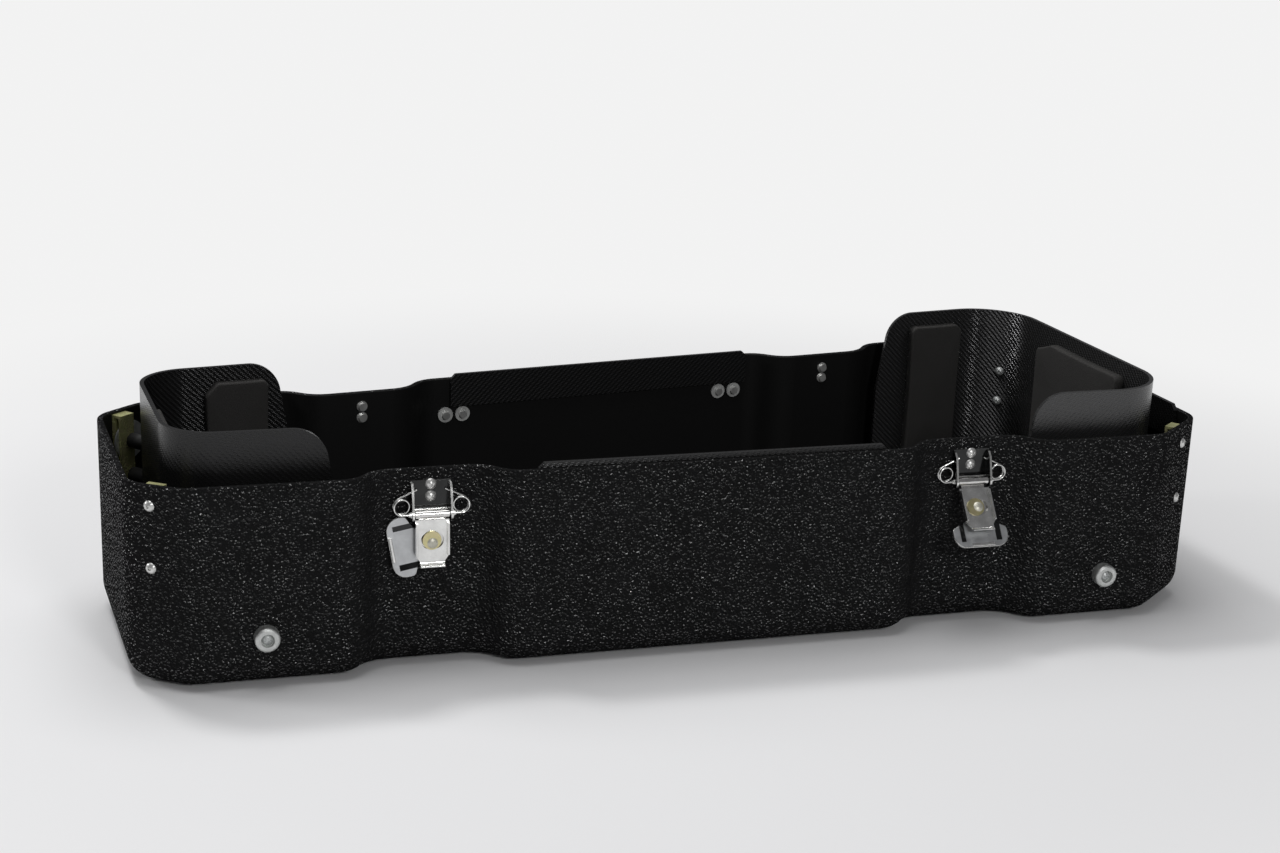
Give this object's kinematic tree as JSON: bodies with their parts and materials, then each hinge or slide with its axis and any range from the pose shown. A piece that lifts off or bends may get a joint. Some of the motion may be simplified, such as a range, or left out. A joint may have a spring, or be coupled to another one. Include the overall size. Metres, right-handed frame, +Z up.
{
  "type": "instrument case base",
  "caption": "Lower half of a tapered violin flight case: tub with latch recesses, sprung rotary draw latches, suspended padded cradles, feet and a hinged carrying handle.",
  "frame": {"origin": "middle of the flat underside, halfway along the case and on its middle plane", "axes": "+X along the case towards the wide body end, +Y towards the rear wall with the handle, +Z up"},
  "size_m": [0.8, 0.3137, 0.174],
  "materials": {
    "shell": "pebbled, satin",
    "carbon_sheet": "twill weave, satin",
    "foam": "matte closed-cell foam",
    "rubber": "matte",
    "latch_zinc": "bright zinc plate",
    "zinc": "zinc plate",
    "satin_zinc": "satin zinc plate",
    "rivet": "bright",
    "yellow_zinc": "yellow passivated zinc",
    "spring_wire": "bright drawn wire",
    "black_steel": "satin black"
  },
  "bodies": {
    "case": {"scroll_cradle": "carbon_sheet", "body_cradle": "carbon_sheet", "front_left_bracket": "yellow_zinc", "rear_left_bracket": "yellow_zinc", "front_right_bracket": "yellow_zinc", "rear_right_bracket": "yellow_zinc", "bracket_rivets": "rivet", "cradle_screws": "zinc", "cradle_nuts": "zinc", "mount_washers": "zinc", "scroll_bobbins": "rubber", "body_bobbins": "rubber", "scroll_front_pad": "foam", "scroll_rear_pad": "foam", "body_front_pad": "foam", "body_rear_pad": "foam", "scroll_end_pad": "foam", "body_end_pad": "foam", "front_tongue": "carbon_sheet", "rear_tongue": "carbon_sheet", "end_tongue": "carbon_sheet", "front_left_latch_base": "latch_zinc", "front_right_latch_base": "latch_zinc", "rear_left_latch_base": "latch_zinc", "rear_right_latch_base": "latch_zinc", "latch_rivets": "rivet", "latch_pins": "zinc", "latch_springs": "spring_wire", "feet": "satin_zinc", "foot_screws": "zinc", "foot_nuts": "zinc", "handle_bracket_left": "black_steel", "handle_bracket_right": "black_steel", "handle_rivets": "rivet", "handle_washers": "zinc", "base_shell": "shell"},
    "front_left_link": {"front_left_latch_link": "latch_zinc"},
    "front_left_hook": {"front_left_latch_hook": "latch_zinc"},
    "front_left_wing": {"front_left_latch_wing": "latch_zinc", "front_left_latch_cam": "yellow_zinc", "front_left_latch_cam_rivet": "yellow_zinc"},
    "front_right_link": {"front_right_latch_link": "latch_zinc"},
    "front_right_hook": {"front_right_latch_hook": "latch_zinc"},
    "front_right_wing": {"front_right_latch_wing": "latch_zinc", "front_right_latch_cam": "yellow_zinc", "front_right_latch_cam_rivet": "yellow_zinc"},
    "rear_left_link": {"rear_left_latch_link": "latch_zinc"},
    "rear_left_hook": {"rear_left_latch_hook": "latch_zinc"},
    "rear_left_wing": {"rear_left_latch_wing": "latch_zinc", "rear_left_latch_cam": "yellow_zinc", "rear_left_latch_cam_rivet": "yellow_zinc"},
    "rear_right_link": {"rear_right_latch_link": "latch_zinc"},
    "rear_right_hook": {"rear_right_latch_hook": "latch_zinc"},
    "rear_right_wing": {"rear_right_latch_wing": "latch_zinc", "rear_right_latch_cam": "yellow_zinc", "rear_right_latch_cam_rivet": "yellow_zinc"},
    "handle": {"handle_bail": "black_steel", "handle_grip": "rubber"}
  },
  "joints": [
    {"name": "front_left_swing", "type": "hinge", "parent": "case", "child": "front_left_link", "pos_m": [-0.19886, -0.10305, 0.1132], "axis": [-0.9979, 0.0649, 0], "range_deg": [-4, 166], "stiffness_Nm_per_rad": 0.05, "springref_deg": 0.6},
    {"name": "front_left_turn", "type": "hinge", "parent": "front_left_link", "child": "front_left_wing", "pos_m": [-0.19889, -0.10341, 0.09298], "axis": [0.0647, 0.9955, -0.0698], "range_deg": [-162, 2]},
    {"name": "front_left_draw", "type": "slide", "parent": "front_left_link", "child": "front_left_hook", "axis": [0.0045, 0.0696, 0.9976], "range_m": [-0.00361, 0.00005]},
    {"name": "front_right_swing", "type": "hinge", "parent": "case", "child": "front_right_link", "pos_m": [0.20029, -0.129, 0.1132], "axis": [-0.9979, 0.0649, 0], "range_deg": [-38, 132], "stiffness_Nm_per_rad": 0.05, "springref_deg": 5.33},
    {"name": "front_right_turn", "type": "hinge", "parent": "front_right_link", "child": "front_right_wing", "pos_m": [0.19954, -0.14058, 0.09664], "axis": [0.0511, 0.7864, -0.6157], "range_deg": [-82, 82]},
    {"name": "front_right_draw", "type": "slide", "parent": "front_right_link", "child": "front_right_hook", "axis": [0.0399, 0.6144, 0.788], "range_m": [-0.00183, 0.00183]},
    {"name": "rear_left_swing", "type": "hinge", "parent": "case", "child": "rear_left_link", "pos_m": [-0.20286, 0.10279, 0.1132], "axis": [0.9979, 0.0649, 0], "range_deg": [0, 170], "stiffness_Nm_per_rad": 0.05},
    {"name": "rear_left_turn", "type": "hinge", "parent": "rear_left_link", "child": "rear_left_wing", "pos_m": [-0.20279, 0.10174, 0.093], "axis": [0.0649, -0.9979, 0], "range_deg": [-82, 82]},
    {"name": "rear_left_draw", "type": "slide", "parent": "rear_left_link", "child": "rear_left_hook", "axis": [0, 0, 1], "range_m": [-0.00183, 0.00183]},
    {"name": "rear_right_swing", "type": "hinge", "parent": "case", "child": "rear_right_link", "pos_m": [0.19131, 0.12841, 0.1132], "axis": [0.9979, 0.0649, 0], "range_deg": [0, 170], "stiffness_Nm_per_rad": 0.05},
    {"name": "rear_right_turn", "type": "hinge", "parent": "rear_right_link", "child": "rear_right_wing", "pos_m": [0.19138, 0.12736, 0.093], "axis": [0.0649, -0.9979, 0], "range_deg": [-82, 82]},
    {"name": "rear_right_draw", "type": "slide", "parent": "rear_right_link", "child": "rear_right_hook", "axis": [0, 0, 1], "range_m": [-0.00183, 0.00183]},
    {"name": "handle_swing", "type": "hinge", "parent": "case", "child": "handle", "pos_m": [-0.00739, 0.14055, 0.1148], "axis": [0.9979, 0.0649, 0], "range_deg": [0, 90]}
  ],
  "couplings": [
    {"joint": "front_left_draw", "follows": "front_left_turn", "m_per_rad": 0.0012732},
    {"joint": "front_right_draw", "follows": "front_right_turn", "m_per_rad": 0.0012732},
    {"joint": "rear_left_draw", "follows": "rear_left_turn", "m_per_rad": 0.0012732},
    {"joint": "rear_right_draw", "follows": "rear_right_turn", "m_per_rad": 0.0012732}
  ]
}
